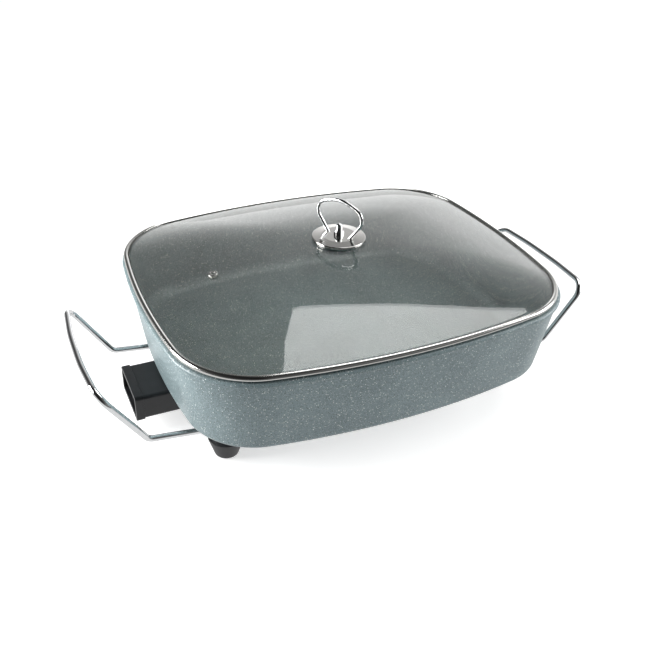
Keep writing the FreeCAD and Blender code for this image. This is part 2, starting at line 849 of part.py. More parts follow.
def build():
    # All pieces, by name
    pieces = {
        "pan_body": pan_body(),
        "heating_element": heating_element(),
        "terminal_pin_front": terminal_pin(-1),
        "terminal_pin_back": terminal_pin(1),
        "terminal_bush_front": terminal_bush(-1),
        "terminal_bush_back": terminal_bush(1),
        "probe_tube": probe_tube(),
        "connector_shroud": connector_shroud(),
        "lid_glass": lid_glass(),
        "lid_rim_ring": lid_rim_ring(),
        "vent_eyelet": vent_eyelet(),
        "handle_bail": handle_bail(),
        "handle_plate": handle_plate(),
        "handle_disc": handle_disc(),
        "cap_nut": cap_nut(),
        "lid_screw": lid_screw(),
    }
    hole = lid_screw_radius + fit_clearance
    pieces["handle_gasket"] = washer(pad_z, gasket_thickness, gasket_radius, hole)
    gasket_z = pad_z - glass_thickness - inner_gasket_thickness
    pieces["inner_gasket"] = washer(gasket_z, inner_gasket_thickness, inner_washer_radius, hole)
    washer_z = gasket_z - inner_washer_thickness
    pieces["inner_washer"] = washer(washer_z, inner_washer_thickness, inner_washer_radius, hole)
    names = ("front", "back")
    for name, (x, y) in zip(names, shroud_screw_places()):
        pieces["shroud_screw_" + name] = shroud_screw(x, y)
    corners = ("left_front", "left_back", "right_front", "right_back")
    for name, (x, y) in zip(corners, feet_places()):
        pieces["foot_" + name] = foot(x, y)
        pieces["foot_screw_" + name] = foot_screw(x, y)
    left = side_handle()
    pieces["side_handle_left"] = left
    pieces["side_handle_right"] = left.mirror(ORIGIN, X_AXIS)
    return pieces


dome_solid_outer = dome_solid(glass_edge_top_z)

os.makedirs("parts", exist_ok=True)
for name, shape in build().items():
    if shape.ShapeType == "Compound" and len(shape.Solids) == 1:
        shape = shape.Solids[0]
    shape.exportStep("parts/" + name + ".step")
    box = shape.BoundBox
    print(name, shape.isValid(), len(shape.Solids), "volume", round(shape.Volume, 1),
          "z", round(box.ZMin, 2), round(box.ZMax, 2))
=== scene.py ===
import math

import bmesh
import bpy
from bmesh.types import BMEdge, BMFace, BMVert
from mathutils import Matrix, Vector


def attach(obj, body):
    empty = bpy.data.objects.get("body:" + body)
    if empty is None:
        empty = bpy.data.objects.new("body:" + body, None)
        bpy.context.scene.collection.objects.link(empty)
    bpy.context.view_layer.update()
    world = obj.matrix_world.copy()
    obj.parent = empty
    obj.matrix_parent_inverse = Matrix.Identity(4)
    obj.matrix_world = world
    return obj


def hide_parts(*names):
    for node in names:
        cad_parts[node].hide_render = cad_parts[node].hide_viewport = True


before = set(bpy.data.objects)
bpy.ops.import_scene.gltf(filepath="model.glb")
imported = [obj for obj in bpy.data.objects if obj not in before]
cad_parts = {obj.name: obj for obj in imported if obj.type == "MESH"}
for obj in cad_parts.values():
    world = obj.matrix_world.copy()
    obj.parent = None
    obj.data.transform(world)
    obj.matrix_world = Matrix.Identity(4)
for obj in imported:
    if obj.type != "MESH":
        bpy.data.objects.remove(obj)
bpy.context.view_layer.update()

# Electric skillet: cast pan with a stone-effect coat, loose glass lid, bent wire handles.
# Pieces are drawn in millimetres in the part's own frame and scaled to metres when they are made.

MM = 0.001
UP = Vector((0, 0, 1))
STILL = Vector((0, 0, 0))
QUARTER_TURN = Matrix.Rotation(math.pi / 2, 3, "Z")

# Rim outline at the outer edge of the lid's ring: half sizes, then the radii of its arcs
HALF_LENGTH = 200.0
HALF_WIDTH = 165.5
SIDE_BOW = 768.0
END_BOW = 728.0
CORNER = 79.0
CORNER_STEPS = 26
BOW_STEPS = 22
WELD = 0.004
# Angle between the sections of a bent wire, finer in a wide bend
BEND_STEP = 0.12
WIDE_BEND = 100.0
WIDE_BEND_STEP = 0.05

# Levels
FOOT_TOP = 20.7
EYE_Z = 23.8
BOSS_Z = 26.9
SOCKET_Z = 28.0
EAR_Z = 34.4
ELEMENT_Z = 37.4
BASE_Z = 42.4
FLOOR_Z = 47.4
LIP_Z = 123.7
RING_Z = 127.0
GLASS_TOP_Z = 129.0
PLATE_Z = 158.0
NUT_Z = 160.8

# Plan places
FOOT_X = 149.3
FOOT_Y = 85.0
EYE_RADIUS = 9.9
ARM_Y = FOOT_Y - EYE_RADIUS
EAR_X = -165.3
EAR_Y = 34.35
PROBE_RIB_X = -148.3
ELEMENT_LEG_X = -138.9
RIDGE_X = -134.7
VENT = Vector((-131.0, -5.0, 0))
CORNERS = {"left_front": (-1, -1), "left_back": (-1, 1), "right_front": (1, -1), "right_back": (1, 1)}

# Lid: the ring's cover of the glass, the glass and its dome, and where the loop handle points
RING_COVER = 6.0
RING_TOP_LEG = 4.4
RING_HALF_HEIGHT = 3.0
RING_SHEET = 1.0
SEAL_DEPTH = 0.72
GLASS_THICKNESS = 4.0
GLASS_HOLE = 4.5
DOME_CROWN = 27.5
DOME_SHOULDER = 0.5
DOME_POWER = 2.1
SHOULDER_POWER = 24
PAD_SHARE = 0.17
# Copies of the outline that the glass is drawn through, closer where the shoulder bends
DOME_SHARES = (0.996, 0.991, 0.985, 0.978, 0.97, 0.961, 0.95, 0.937, 0.92, 0.9, 0.865, 0.82,
               0.77, 0.71, 0.65, 0.59, 0.53, 0.47, 0.41, 0.35, 0.3, 0.25, 0.21, PAD_SHARE)
BAIL_TURN = -59.3


# Mesh helpers


def rim_arcs():
    """Centre, radius, start and end angle of the eight arcs of the rim, anticlockwise."""
    side = Vector((0, HALF_WIDTH - SIDE_BOW, 0))
    end = Vector((HALF_LENGTH - END_BOW, 0, 0))
    side_reach = SIDE_BOW - CORNER
    end_reach = END_BOW - CORNER
    gap = end - side
    along = (side_reach ** 2 - end_reach ** 2 + gap.length_squared) / (2 * gap.length)
    across = math.sqrt(side_reach ** 2 - along ** 2)
    unit = gap.normalized()
    normal = Vector((-unit.y, unit.x, 0))
    middles = [side + unit * along + normal * across, side + unit * along - normal * across]
    corner = max(middles, key=lambda p: p.x + p.y)
    low = math.atan2(corner.y - end.y, corner.x - end.x)
    high = math.atan2(corner.y - side.y, corner.x - side.x)
    half_turn = math.pi
    x, y = corner.x, corner.y
    return [
        (end, END_BOW, -low, low),
        (corner, CORNER, low, high),
        (side, SIDE_BOW, high, half_turn - high),
        (Vector((-x, y, 0)), CORNER, half_turn - high, half_turn - low),
        (-end, END_BOW, half_turn - low, half_turn + low),
        (Vector((-x, -y, 0)), CORNER, half_turn + low, half_turn + high),
        (-side, SIDE_BOW, half_turn + high, 2 * half_turn - high),
        (Vector((x, -y, 0)), CORNER, 2 * half_turn - high, 2 * half_turn - low),
    ]


def verts_in(geom):
    """The vertices among what an operator made."""
    return [g for g in geom if isinstance(g, BMVert)]


def bevel(bm, geom, offset, segments, affect="EDGES", **settings):
    """Rounds edges or corners with an even arc."""
    return bmesh.ops.bevel(bm, geom=geom, offset=offset, offset_type="OFFSET", segments=segments,
                           profile=0.5, affect=affect, material=-1, **settings)


def section(bm, corners, closed):
    """Chain of edges in the XZ plane from corners given as x, z and rounding."""
    verts = [bm.verts.new((x, 0, z)) for x, z, rounding in corners]
    count = len(verts)
    edges = [bm.edges.new((verts[i], verts[i + 1])) for i in range(count - 1)]
    if closed:
        edges.append(bm.edges.new((verts[-1], verts[0])))
    bm.verts.index_update()
    chain = set(edges)
    arc_step = 0.2
    rounds = []
    for i, (x, z, rounding) in enumerate(corners):
        if rounding > 0:
            before = verts[i - 1].co - verts[i].co
            after = verts[(i + 1) % count].co - verts[i].co
            half = before.angle(after) / 2
            turn = math.pi - 2 * half
            rounds.append((verts[i], rounding / math.tan(half), max(2, round(turn / arc_step))))
    for vert, reach, segments in rounds:
        chain -= set(vert.link_edges)
        for v in bevel(bm, [vert], reach, segments, affect="VERTICES")["verts"]:
            chain |= set(v.link_edges)
    chain = {e for e in chain if e.is_valid}
    return list({v for e in chain for v in e.verts}), list(chain)


def spin_arc(bm, geom, arc):
    """Spins geometry along one arc of the rim."""
    centre, radius, start, end = arc
    bmesh.ops.spin(bm, geom=geom, cent=centre, axis=UP, angle=end - start,
                   steps=CORNER_STEPS if radius == CORNER else BOW_STEPS, use_duplicate=False)


def round_rim(bm, corners, closed=True):
    """Spins a section round the eight arcs of the rim. Section x is minus the inset."""
    for arc in rim_arcs():
        centre, radius, start, _ = arc
        verts, edges = section(bm, corners, closed)
        bmesh.ops.translate(bm, verts=verts, vec=(radius, 0, 0))
        bmesh.ops.rotate(bm, verts=verts, cent=(0, 0, 0), matrix=Matrix.Rotation(start, 3, "Z"))
        bmesh.ops.translate(bm, verts=verts, vec=centre)
        spin_arc(bm, verts + edges, arc)
    bmesh.ops.remove_doubles(bm, verts=bm.verts, dist=WELD)


def turned(bm, corners, steps=64, closed=False):
    """Spins a section a full turn about Z and returns its vertices."""
    old = set(bm.verts)
    verts, edges = section(bm, corners, closed)
    bmesh.ops.spin(bm, geom=verts + edges, cent=(0, 0, 0), axis=UP, angle=2 * math.pi,
                   steps=steps, use_merge=True, use_duplicate=False)
    fresh = [v for v in bm.verts if v not in old]
    bmesh.ops.remove_doubles(bm, verts=fresh, dist=WELD)
    return [v for v in bm.verts if v not in old]


def loop_at(bm, place, heading, radius, sides=24):
    """Circle of edges across a heading, where a wire starts."""
    turn = heading.to_track_quat("Z", "Y").to_matrix().to_4x4()
    made = bmesh.ops.create_circle(bm, segments=sides, radius=radius, cap_ends=False,
                                   matrix=Matrix.Translation(place) @ turn)
    verts = made["verts"]
    return verts + list({e for v in verts for e in v.link_edges})


def run(bm, loop, step):
    """Draws a loop of edges out along a straight step."""
    fresh = bmesh.ops.extrude_edge_only(bm, edges=[g for g in loop if isinstance(g, BMEdge)])["geom"]
    bmesh.ops.translate(bm, verts=verts_in(fresh), vec=step)
    return [g for g in fresh if not isinstance(g, BMFace)]


def bend(bm, loop, centre, axis, angle, step=BEND_STEP):
    """Spins a loop of edges about a former."""
    steps = max(3, round(abs(angle) / step))
    made = bmesh.ops.spin(bm, geom=loop, cent=centre, axis=axis, angle=angle, steps=steps,
                          use_duplicate=False)
    return [g for g in made["geom_last"] if not isinstance(g, BMFace)]


def draw_wire(bm, loop, points, radii):
    """Carries a loop from the first point along straight runs, bent at each corner."""
    place = points[0]
    for i in range(1, len(points) - 1):
        back = (points[i - 1] - points[i]).normalized()
        ahead = (points[i + 1] - points[i]).normalized()
        half = back.angle(ahead) / 2
        entry = points[i] + back * (radii[i] / math.tan(half))
        centre = points[i] + (back + ahead).normalized() * (radii[i] / math.sin(half))
        loop = run(bm, loop, entry - place)
        loop = bend(bm, loop, centre, (-back).cross(ahead).normalized(), math.pi - 2 * half,
                    WIDE_BEND_STEP if radii[i] > WIDE_BEND else BEND_STEP)
        place = points[i] + ahead * (radii[i] / math.tan(half))
    return run(bm, loop, points[-1] - place)


def close_ends(bm):
    """Caps each open end with one face."""
    open_edges = [e for e in bm.edges if e.is_boundary]
    bmesh.ops.holes_fill(bm, edges=open_edges, sides=0)


def from_frame(node):
    """The frame's own shape as one merged mesh with flat faces joined, in millimetres."""
    bm = bmesh.new()
    bm.from_mesh(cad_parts[node].data)
    bmesh.ops.scale(bm, vec=(1 / MM, 1 / MM, 1 / MM), verts=bm.verts)
    bmesh.ops.remove_doubles(bm, verts=bm.verts, dist=0.002)
    bmesh.ops.dissolve_limit(bm, angle_limit=math.radians(0.6), use_dissolve_boundaries=False,
                             verts=bm.verts, edges=bm.edges)
    return bm


def piece(name, bm, body, material, nodes=(), sharp=38, weighted=True):
    """Makes an object from a mesh drawn in millimetres, riding on a body."""
    bmesh.ops.remove_doubles(bm, verts=bm.verts, dist=0.003)
    bmesh.ops.recalc_face_normals(bm, faces=bm.faces)
    bmesh.ops.scale(bm, vec=(MM, MM, MM), verts=bm.verts)
    mesh = bpy.data.meshes.new(name)
    bm.to_mesh(mesh)
    bm.free()
    mesh.materials.append(material)
    mesh.shade_smooth()
    mesh.set_sharp_from_angle(angle=math.radians(sharp))
    made = bpy.data.objects.new(name, mesh)
    bpy.context.scene.collection.objects.link(made)
    if weighted:
        normals = made.modifiers.new("face_weighted_normals", "WEIGHTED_NORMAL")
        normals.keep_sharp = True
        normals.weight = 80
    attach(made, body)
    if nodes:
        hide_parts(*nodes)
    return made


# Material helpers


def colour(code):
    """Linear colour from an sRGB hex value."""
    values = [int(code[i:i + 2], 16) / 255 for i in (1, 3, 5)]
    return tuple(v / 12.92 if v <= 0.04045 else ((v + 0.055) / 1.055) ** 2.4 for v in values) + (1.0,)


def grey(value):
    """Linear neutral colour."""
    return (value, value, value, 1)


def darker(shade, share):
    """The same colour at a share of its brightness."""
    return tuple(v * share for v in shade[:3]) + (1.0,)


def add(tree, kind, inputs=None, links=None, **settings):
    """One node with its settings, its socket values and the sockets that feed it."""
    made = tree.nodes.new(kind)
    for key, value in settings.items():
        setattr(made, key, value)
    for key, value in (inputs or {}).items():
        made.inputs[key].default_value = value
    for key, source in (links or {}).items():
        tree.links.new(source, made.inputs[key])
    return made


def new_material(name):
    """Empty node material, its tree and the object coordinates for its patterns."""
    made = bpy.data.materials.new(name)
    made.use_nodes = True
    tree = made.node_tree
    tree.nodes.clear()
    return made, tree, add(tree, "ShaderNodeTexCoord").outputs["Object"]


def per_mm(size):
    """Texture scale for a pattern of this size in millimetres, on coordinates in metres."""
    return 1000.0 / size


def noise(tree, place, size, detail, **inputs):
    """Noise with grains of a size in millimetres."""
    made = add(tree, "ShaderNodeTexNoise", {"Scale": per_mm(size), "Detail": detail, **inputs},
               {"Vector": place})
    return made.outputs["Fac"]


def ramp(tree, source, points):
    """Colour ramp through places and colours."""
    made = add(tree, "ShaderNodeValToRGB", None, {"Fac": source})
    elements = made.color_ramp.elements
    while len(elements) > 1:
        elements.remove(elements[-1])
    elements[0].position, elements[0].color = points[0]
    for place, value in points[1:]:
        elements.new(place).color = value
    return made.outputs["Color"]


def spread(tree, source, low, high, near=0.0, far=1.0):
    """Goes from low to high while the source goes from near to far."""
    limits = {"From Min": near, "From Max": far, "To Min": low, "To Max": high}
    return add(tree, "ShaderNodeMapRange", limits, {"Value": source}).outputs["Result"]


def combine(tree, operation, first, second):
    """Result of two sockets, or of a socket and a number."""
    if isinstance(second, bpy.types.NodeSocket):
        made = add(tree, "ShaderNodeMath", None, {0: first, 1: second}, operation=operation)
    else:
        made = add(tree, "ShaderNodeMath", {1: second}, {0: first}, operation=operation)
    return made.outputs["Value"]


def relief(tree, height, strength, distance):
    """Normal of a fine relief, with its distance in metres."""
    made = add(tree, "ShaderNodeBump", {"Strength": strength, "Distance": distance}, {"Height": height})
    return made.outputs["Normal"]


def surface(tree, shade, rough, normal, **inputs):
    """Principled shader and the material's output."""
    values = {key.replace("_", " "): value for key, value in inputs.items()}
    shader = add(tree, "ShaderNodeBsdfPrincipled", values,
                 {"Base Color": shade, "Roughness": rough, "Normal": normal})
    add(tree, "ShaderNodeOutputMaterial", None, {"Surface": shader.outputs["BSDF"]})


# Materials


def stone_effect_coat():
    """Ceramic-type non-stick coat sprayed on cast aluminium, a grey-blue ground with pale
    and dark specks about a millimetre wide. It has a soft satin gloss and a faint pebble."""
    made, tree, place = new_material("stone_effect_ceramic_coat")
    cloud = noise(tree, place, 45, 3.0)
    result = ramp(tree, cloud, [(0.35, colour("#6d7d80")), (0.65, colour("#77888b"))])
    # Cell size in mm, colour, where a speck is full and where it has faded, and its share of cells
    layers = [
        (0.9, "#a6b1b4", 0.22, 0.48, 0.36),
        (1.5, "#f4f8f8", 0.16, 0.33, 0.18),
        (1.0, "#384145", 0.22, 0.46, 0.30),
        (2.4, "#f0f5f5", 0.10, 0.22, 0.09),
    ]
    # Each layer is shifted so that its cells don't line up with those of the others
    shift = Vector((0.013, 0.021, 0.017))
    for i, (size, shade, full, faded, share) in enumerate(layers):
        moved = add(tree, "ShaderNodeMapping", {"Location": shift * i}, {"Vector": place})
        cells = add(tree, "ShaderNodeTexVoronoi", {"Scale": per_mm(size)},
                    {"Vector": moved.outputs["Vector"]})
        spot = spread(tree, cells.outputs["Distance"], 1.0, 0.0, full, faded)
        pick = add(tree, "ShaderNodeSeparateColor", None, {"Color": cells.outputs["Color"]})
        chosen = combine(tree, "LESS_THAN", pick.outputs["Red"], share)
        amount = combine(tree, "MULTIPLY", spot, chosen)
        # A colour Mix has its factor in socket 0 and its two colours in sockets 6 and 7
        mixed = add(tree, "ShaderNodeMix", {7: colour(shade)}, {0: amount, 6: result}, data_type="RGBA")
        result = mixed.outputs[2]
    grain = noise(tree, place, 1.4, 2.0)
    surface(tree, result, spread(tree, grain, 0.30, 0.44), relief(tree, grain, 0.12, 0.0004), IOR=1.5)
    return made


def metal(name, shade, rough_low, rough_high, grain_mm, stretch=(1, 1, 1)):
    """Bare or plated metal with fine marks. Stretch draws the marks out into a brushed grain."""
    made, tree, place = new_material(name)
    drawn = add(tree, "ShaderNodeMapping", {"Scale": stretch}, {"Vector": place})
    marks = noise(tree, drawn.outputs["Vector"], grain_mm, 4.0, Roughness=0.6)
    base = colour(shade)
    tone = ramp(tree, marks, [(0.3, darker(base, 0.93)), (0.7, base)])
    surface(tree, tone, spread(tree, marks, rough_low, rough_high), relief(tree, marks, 0.05, 0.0002),
            Metallic=1.0)
    return made


def spun_steel(name, shade):
    """Stainless disc finished on a lathe: fine rings about its middle spread each highlight."""
    made, tree, place = new_material(name)
    split = add(tree, "ShaderNodeSeparateXYZ", None, {"Vector": place})
    flat = add(tree, "ShaderNodeCombineXYZ", None, {"X": split.outputs["X"], "Y": split.outputs["Y"]})
    radius = add(tree, "ShaderNodeVectorMath", None, {0: flat.outputs["Vector"]}, operation="LENGTH")
    lines = add(tree, "ShaderNodeTexNoise", {"Scale": per_mm(0.5), "Detail": 3.0},
                {"W": radius.outputs["Value"]}, noise_dimensions="1D")
    rings = lines.outputs["Fac"]
    base = colour(shade)
    tone = ramp(tree, rings, [(0.3, darker(base, 0.9)), (0.7, base)])
    surface(tree, tone, spread(tree, rings, 0.10, 0.20), relief(tree, rings, 0.08, 0.0001), Metallic=1.0)
    return made


def tempered_glass():
    """Pressed tempered soda-lime glass, clear with a faint green-grey cast. Pressing leaves a
    slight slow wave in its surface, and wiping leaves a trace of haze."""
    made, tree, place = new_material("pressed_tempered_glass")
    wave = noise(tree, place, 60, 1.0)
    haze = noise(tree, place, 18, 5.0)
    tint = ramp(tree, haze, [(0.3, colour("#f2f5f1")), (0.7, colour("#f7f9f6"))])
    surface(tree, tint, spread(tree, haze, 0.0, 0.03), relief(tree, wave, 0.03, 0.001),
            IOR=1.5, Transmission_Weight=1.0)
    return made


def moulded(name, low, high, rough_low, rough_high, grain_mm, lift):
    """Moulded or fired material with a slight mottle and a fine texture from its mould."""
    made, tree, place = new_material(name)
    mottle = noise(tree, place, 9, 4.0)
    grain = noise(tree, place, grain_mm, 3.0)
    tone = ramp(tree, mottle, [(0.3, colour(low)), (0.7, colour(high))])
    surface(tree, tone, spread(tree, mottle, rough_low, rough_high), relief(tree, grain, lift, 0.0003),
            IOR=1.5)
    return made


COAT = stone_effect_coat()
# Chrome on drawn wire and on the nut, almost a mirror
CHROME = metal("polished_chrome_plate", "#dedfe0", 0.04, 0.10, 3.0)
# Rolled stainless strip, polished, with its marks drawn out along the rim
RIM_STEEL = metal("polished_stainless_steel", "#cfcfcc", 0.12, 0.20, 0.8, (0.2, 0.2, 3.0))
# Stainless as it leaves the rolling tool, a little duller
EYELET_STEEL = metal("rolled_stainless_steel", "#c9c9c6", 0.18, 0.28, 0.8)
DISC_STEEL = spun_steel("spun_stainless_steel", "#d0cfcc")
# Steel sheath browned and dulled by heat
SHEATH = metal("heat_stained_steel_sheath", "#8f8b84", 0.35, 0.50, 1.2)
# Nickel plate, warmer than chrome
PIN_PLATE = metal("nickel_plated_pin", "#d2d0ca", 0.15, 0.25, 0.9)
# Zinc plate, satin and slightly blue
ZINC = metal("zinc_plated_screw", "#b9bbb8", 0.25, 0.38, 0.8)
GLASS = tempered_glass()
# Phenolic from a smooth mould, a low gloss
BLACK = moulded("moulded_black_phenolic", "#17181a", "#1f2023", 0.30, 0.42, 0.9, 0.10)
# Phenolic from a sparked mould, matte
FOOT_BLACK = moulded("matte_black_phenolic", "#1a1b1d", "#232427", 0.42, 0.55, 0.7, 0.15)
# Fired steatite, off-white and dry
CERAMIC = moulded("white_steatite_ceramic", "#d9d6cb", "#e6e3d9", 0.35, 0.5, 0.6, 0.10)
# Cured sealant that reads as a dark olive line through the glass; its dark colour is partly painted shade,
# for the shade that falls on the ring's lower leg
SEALANT_AND_PAINTED_SHADE = moulded("olive_sealant_and_painted_shade", "#2c2b22", "#38362b", 0.5, 0.65, 0.8, 0.10)
# Silicone rubber, matte
SILICONE = moulded("grey_silicone_rubber", "#8b8f90", "#9a9e9f", 0.55, 0.68, 0.8, 0.10)


# Pan


def pan_shell():
    """Casting swept round the rim, with drafted walls and the floor filled in between."""
    bm = bmesh.new()
    wall_foot, wall_top = -11.6, -0.3
    inner_foot, inner_top = -14.8, -5.2
    join = inner_foot - 16.2
    lip_edge, lip_under = 1.9, LIP_Z - 4.4
    outer_fillet, inner_fillet = 8.2, 13.0
    round_rim(bm, [
        (join, BASE_Z, 0),
        (wall_foot, BASE_Z, outer_fillet),
        (wall_top, lip_under, 0.6),
        (lip_edge, lip_under, 1.3),
        (lip_edge, LIP_Z, 2.6),
        (inner_top, LIP_Z, 1.6),
        (inner_foot, FLOOR_Z, inner_fillet),
        (join, FLOOR_Z, 0),
    ], closed=False)
    close_ends(bm)
    return piece("pan_shell", bm, "base", COAT, ["pan_body"])


def pan_bosses():
    """Tapered bosses under the floor that the feet are screwed to."""
    bm = bmesh.new()
    hole, tip, root, flare = 2.55, 13.5, 15.0, 19.0
    for sx, sy in CORNERS.values():
        verts = turned(bm, [(hole, BOSS_Z, 0), (tip, BOSS_Z, 0.8), (root, BASE_Z, 2.5),
                            (flare, BASE_Z + 0.5, 0)])
        bmesh.ops.translate(bm, verts=verts, vec=(sx * FOOT_X, sy * FOOT_Y, 0))
    return piece("pan_bosses", bm, "base", COAT)


def screw_pads():
    """Two round pads under the floor that the socket's ears are screwed to."""
    bm = bmesh.new()
    hole, tip, root, flare = 1.95, 5.1, 5.3, 8.0
    for side in (-1, 1):
        verts = turned(bm, [(hole, EAR_Z, 0), (tip, EAR_Z, 0.5), (root, BASE_Z - 0.4, 1.5),
                            (flare, BASE_Z + 0.4, 0)], steps=40)
        bmesh.ops.translate(bm, verts=verts, vec=(EAR_X, side * EAR_Y, 0))
    return piece("screw_pads", bm, "base", COAT)


def probe_rib():
    """Cast rib under the floor, round below, that holds the probe's tube."""
    bm = bmesh.new()
    half, length, end_rounding = 8.6, 44.0, 0.8
    top, bottom, rounding = BASE_Z + 1.0, SOCKET_Z - half, half * 0.999
    verts, edges = section(bm, [(-half, top, 0), (-half, bottom, rounding),
                                (half, bottom, rounding), (half, top, 0)], False)
    bmesh.ops.rotate(bm, verts=verts, cent=(0, 0, 0), matrix=QUARTER_TURN)
    bmesh.ops.translate(bm, verts=verts, vec=(PROBE_RIB_X, 0, 0))
    run(bm, verts + edges, Vector((length, 0, 0)))
    close_ends(bm)
    ends = [e for e in bm.edges
            if e.calc_face_angle(0) > 1.0 and abs(e.verts[0].co.x - e.verts[1].co.x) < 0.01]
    bevel(bm, ends, end_rounding, 3)
    return piece("probe_rib", bm, "base", COAT)


def heater_ridge():
    """Cast ridge round the base, with the open channel that holds the element."""
    bm = bmesh.new()
    leg_y, leg_length, loop_length, loop_y = 17.5, 25.3, 232.0, 102.0
    leg_bend, loop_bend = 15, 34
    outer, channel = 7.2, 4.3
    low, high, root = -2.4, 4.3, 7.0
    near = ELEMENT_LEG_X + leg_length
    far = near + loop_length
    verts, edges = section(bm, [
        (-outer, root, 0), (-outer, low, 1.0), (-channel, low, 0.3), (-channel, high, 4.2),
        (channel, high, 4.2), (channel, low, 0.3), (outer, low, 1.0), (outer, root, 0),
    ], False)
    places = [(RIDGE_X, leg_y), (near, leg_y), (near, loop_y), (far, loop_y),
              (far, -loop_y), (near, -loop_y), (near, -leg_y), (RIDGE_X, -leg_y)]
    points = [Vector((x, y, ELEMENT_Z)) for x, y in places]
    bmesh.ops.rotate(bm, verts=verts, cent=(0, 0, 0), matrix=QUARTER_TURN)
    bmesh.ops.translate(bm, verts=verts, vec=points[0])
    draw_wire(bm, verts + edges, points, [0, leg_bend] + 4 * [loop_bend] + [leg_bend, 0])
    close_ends(bm)
    return piece("heater_ridge", bm, "base", COAT)


# Side handles, feet and socket


def side_handle(name, side):
    """Half of the wire, from its eye round a foot up to the middle of the grip, then mirrored."""
    bm = bmesh.new()
    wire_radius, eye_turn = 3.0, math.radians(285)
    arm_reach, knee_x, knee_rise = 16.0, -218.6, 6.0
    grip_x, grip_z, bow, flare = -257.8, 90.6, 4.5, 2.8
    arm_bend, knee_bend, corner_bend, bow_bend = 40.0, 9.0, 17.0, 300.0
    eye = Vector((-FOOT_X, -FOOT_Y, EYE_Z))
    angle = math.radians(90) - eye_turn
    start = eye + Vector((math.cos(angle), math.sin(angle), 0)) * EYE_RADIUS
    loop = loop_at(bm, start, Vector((-math.sin(angle), math.cos(angle), 0)), wire_radius)
    loop = bend(bm, loop, eye, UP, eye_turn)
    draw_wire(bm, loop, [
        Vector((-FOOT_X, -ARM_Y, EYE_Z)),
        Vector((-FOOT_X - arm_reach, -ARM_Y, EYE_Z)),
        Vector((knee_x, -ARM_Y, EYE_Z + knee_rise)),
        Vector((grip_x, -ARM_Y - flare, grip_z)),
        Vector((grip_x - bow, -ARM_Y / 3, grip_z)),
        Vector((grip_x - bow, 0, grip_z)),
    ], [0, arm_bend, knee_bend, corner_bend, bow_bend, 0])
    bmesh.ops.mirror(bm, geom=bm.verts[:] + bm.edges[:] + bm.faces[:], axis="Y", merge_dist=0.01)
    close_ends(bm)
    if side > 0:
        bmesh.ops.scale(bm, vec=(-1, 1, 1), verts=bm.verts)
    return piece(name, bm, "base", CHROME, [name.replace("wire_", "side_handle_")],
                 weighted=False)


def feet():
    """Tapered feet with a recess for the screw and a spigot through the wire's eye."""
    recess, recess_top, bottom, top, spigot = 6.5, 9.0, 11.0, 17.5, 6.8
    for corner, (sx, sy) in CORNERS.items():
        bm = bmesh.new()
        turned(bm, [
            (0, recess_top, 0),
            (recess, recess_top, 0),
            (recess, 0, 0.5),
            (bottom, 0, 2.5),
            (top, FOOT_TOP, 1.0),
            (spigot, FOOT_TOP, 0),
            (spigot, BOSS_Z, 0),
            (0, BOSS_Z, 0),
        ])
        bmesh.ops.translate(bm, verts=bm.verts, vec=(sx * FOOT_X, sy * FOOT_Y, 0))
        piece("moulded_foot_" + corner, bm, "base", FOOT_BLACK, ["foot_" + corner])


def socket_shroud():
    """Moulded socket round the pins, with its sharp edges eased as a mould leaves them."""
    bm = from_frame("connector_shroud")
    sharp_edge, easing = math.radians(50), 0.45
    edges = [e for e in bm.edges if len(e.link_faces) == 2 and e.calc_face_angle(0) > sharp_edge]
    bevel(bm, edges, easing, 2, clamp_overlap=True)
    return piece("moulded_socket", bm, "base", BLACK, ["connector_shroud"], sharp=35)


# Lid


def settle(bm):
    """The loose lid lies a millimetre to the left, and its ring is a little short of the lip."""
    bmesh.ops.scale(bm, vec=(0.995, 1, 1), verts=bm.verts)
    bmesh.ops.translate(bm, verts=bm.verts, vec=(-1.0, 0, 0))


def rim_ring():
    """Steel strip rolled round the edge of the glass, with a crowned outer side."""
    bm = bmesh.new()
    half_glass = GLASS_THICKNESS / 2
    low, high = RING_Z - RING_HALF_HEIGHT, RING_Z + RING_HALF_HEIGHT
    crown, top_rounding, leg_z = 2.9, 1.6, RING_Z + 2.3
    round_rim(bm, [
        (-RING_COVER, RING_Z - half_glass, 0),
        (-RING_COVER, low, 0.45),
        (0, low, crown),
        (0, high, crown),
        (-crown, high, top_rounding),
        (-RING_TOP_LEG, leg_z, 0.15),
        (-RING_TOP_LEG, RING_Z + half_glass, 0),
        (-RING_SHEET, RING_Z + half_glass, 0),
        (-RING_SHEET, RING_Z - half_glass, 0),
    ])
    settle(bm)
    return piece("rolled_rim_ring", bm, "lid", RIM_STEEL, ["lid_rim_ring"])


def edge_seal_and_painted_shade():
    """Dark sealant under and round the edge of the glass in the ring, seen through the glass. Its sheet on
    the ring's lower leg is partly painted shade, dark where the leg lies in shadow.
    """
    bm = bmesh.new()
    inner, face = -RING_COVER + 0.1, -RING_SHEET - SEAL_DEPTH
    low, bed, high = RING_Z - 2.0, RING_Z - 1.88, RING_Z + 1.98
    # Thin dark sheet on the ring's lower leg: painted shade for the shadow that lies there under the glass
    round_rim(bm, [(inner, low, 0), (-RING_SHEET, low, 0), (-RING_SHEET, high, 0),
                   (face, high, 0), (face, bed, 0), (inner, bed, 0)])
    settle(bm)
    return piece("edge_seal_and_painted_shade", bm, "lid", SEALANT_AND_PAINTED_SHADE)


def dome_height(share):
    """Rise of the glass above its edge: a small shoulder by the ring, then one crown to the pad."""
    crown = DOME_CROWN * (1 - share ** DOME_POWER) / (1 - PAD_SHARE ** DOME_POWER)
    return crown + DOME_SHOULDER * (1 - share ** SHOULDER_POWER)


